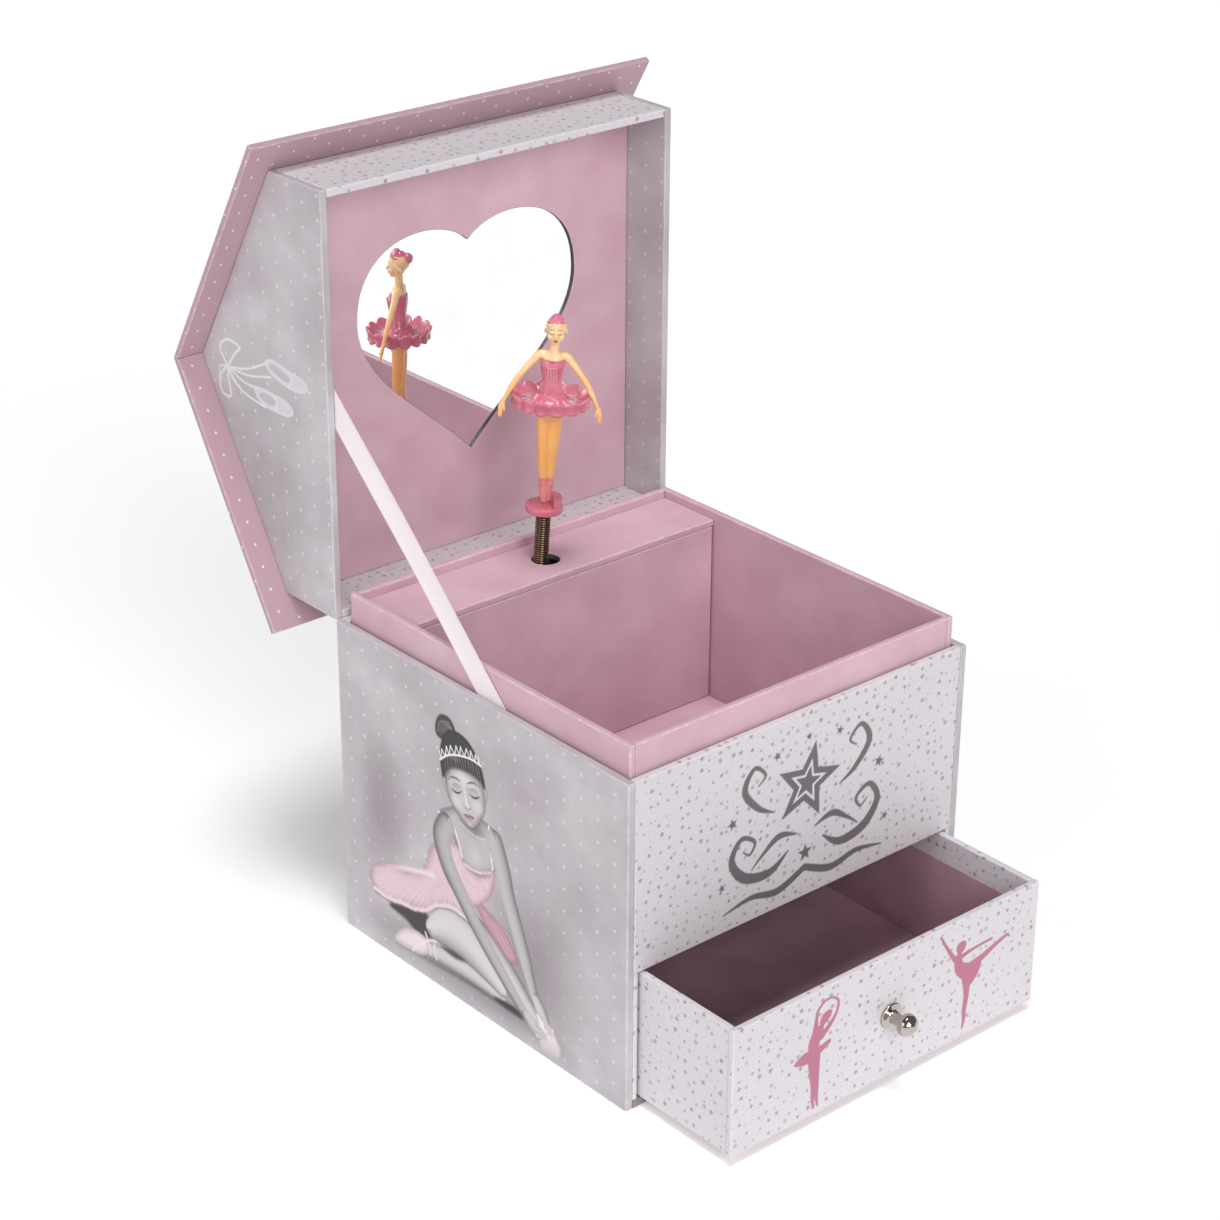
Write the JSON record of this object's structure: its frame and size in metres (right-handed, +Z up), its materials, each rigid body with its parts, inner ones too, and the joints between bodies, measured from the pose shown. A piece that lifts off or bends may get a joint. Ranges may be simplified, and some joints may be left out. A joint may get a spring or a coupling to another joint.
{
  "type": "ballerina jewellery box",
  "caption": "House-shaped musical jewellery box: a drawer, a lined compartment, a hinged gable lid with a heart mirror, and a dancer turning on a spring.",
  "frame": {"origin": "centre of the box's underside, between the outer walls, not counting the open drawer and lid", "axes": "+Z up, +X to the right seen from the front, +Y towards the back where the lid is hinged"},
  "size_m": [0.17, 0.2824, 0.2825],
  "materials": {
    "star_paper": "satin printed paper on board, small grey and pink stars",
    "grey_paper": "satin printed paper on board, mottled grey with white dots",
    "roof_paper": "satin printed paper on board, pink with white dots",
    "pink_paper": "matt pink lining paper on board",
    "grey_board": "raw grey board",
    "mirror_glass": "silvered",
    "satin_ribbon": "satin weave",
    "nickel": "polished nickel plate",
    "steel": "satin steel",
    "spring_steel": "bronzed spring wire",
    "zinc": "die-cast grey metal",
    "brass": "machined",
    "fan_plastic": "matt",
    "stand_plastic": "glossy",
    "skin_plastic": "glossy, hand painted",
    "dress_plastic": "glossy with silver brush lines"
  },
  "bodies": {
    "base": {"base_board": "grey_board", "left_wall": "grey_paper", "right_wall": "grey_paper", "back_wall": "star_paper", "front_panel": "star_paper", "bay_side_left": "star_paper", "bay_side_right": "star_paper", "shelf_board": "grey_board", "hinge_strip_base": "star_paper", "liner_left": "pink_paper", "liner_right": "pink_paper", "liner_front": "pink_paper", "liner_back": "pink_paper", "liner_floor": "pink_paper", "movement_cover_top": "pink_paper", "movement_cover_front": "pink_paper", "movement_bedplate": "zinc", "movement_screw_left": "steel", "movement_screw_right": "steel", "spring_housing": "zinc", "music_comb": "steel", "comb_block": "zinc", "spindle_bracket": "zinc", "governor_bracket": "zinc"},
    "drawer": {"drawer_front": "star_paper", "drawer_left_side": "star_paper", "drawer_right_side": "star_paper", "drawer_back": "star_paper", "drawer_floor": "pink_paper", "drawer_knob": "nickel", "knob_washer": "steel", "knob_screw": "steel"},
    "lid": {"lid_front_wall": "star_paper", "lid_rear_wall": "star_paper", "lid_left_gable": "grey_paper", "lid_right_gable": "grey_paper", "roof_front_slope": "roof_paper", "roof_rear_slope": "roof_paper", "mirror_panel": "pink_paper", "heart_mirror": "mirror_glass", "mirror_backing": "grey_board", "hinge_strip_lid": "star_paper", "lid_ribbon": "satin_ribbon"},
    "spring": {"coil_spring": "spring_steel", "spring_plug": "spring_steel"},
    "dancer": {"dancer_stand": "stand_plastic", "dancer_figure": "skin_plastic", "dancer_tutu": "dress_plastic"},
    "spindle": {"spindle_shaft": "steel", "spindle_pinion": "brass"},
    "winding": {"winding_arbor": "steel", "crown_wheel": "brass", "mainspring": "spring_steel", "winding_key": "nickel"},
    "cylinder": {"pin_cylinder": "brass", "cylinder_pinion": "brass", "cylinder_wheel": "brass"},
    "governor": {"governor_shaft": "steel", "governor_fan": "fan_plastic"}
  },
  "joints": [
    {"name": "lid_hinge", "type": "hinge", "parent": "base", "child": "lid", "pos_m": [0, 0.0755, 0.12], "axis": [1, 0, 0], "range_deg": [0, 90], "deforming": ["lid_ribbon"]},
    {"name": "drawer_slide", "type": "slide", "parent": "base", "child": "drawer", "axis": [0, 1, 0], "range_m": [-0.06, 0.0435]},
    {"name": "dancer_fold", "type": "hinge", "parent": "base", "child": "spring", "pos_m": [0, 0.0534, 0.131], "axis": [1, 0, 0], "range_deg": [0, 103], "deforming": ["coil_spring"]},
    {"name": "dancer_spin", "type": "hinge", "parent": "spring", "child": "dancer", "pos_m": [-0.0008, 0.0564, 0.1275], "axis": [0.046, -0.04, 0.9981], "continuous": true},
    {"name": "key_turn", "type": "hinge", "parent": "base", "child": "winding", "pos_m": [-0.0008, 0.0564, 0.088], "axis": [0, 1, 0], "continuous": true},
    {"name": "spindle_spin", "type": "hinge", "parent": "base", "child": "spindle", "pos_m": [-0.0008, 0.0564, 0.1], "axis": [0, 0, 1], "continuous": true},
    {"name": "cylinder_spin", "type": "hinge", "parent": "base", "child": "cylinder", "pos_m": [-0.036, 0.0564, 0.088], "axis": [1, 0, 0], "continuous": true},
    {"name": "governor_spin", "type": "hinge", "parent": "base", "child": "governor", "pos_m": [-0.0546, 0.0564, 0.0993], "axis": [1, 0, 0], "continuous": true}
  ],
  "couplings": [
    {"joint": "dancer_fold", "follows": "lid_hinge", "ratio": 1.1444},
    {"joint": "spindle_spin", "follows": "key_turn", "ratio": -3},
    {"joint": "dancer_spin", "follows": "key_turn", "ratio": -3},
    {"joint": "cylinder_spin", "follows": "key_turn", "ratio": 3},
    {"joint": "governor_spin", "follows": "key_turn", "ratio": -12}
  ]
}
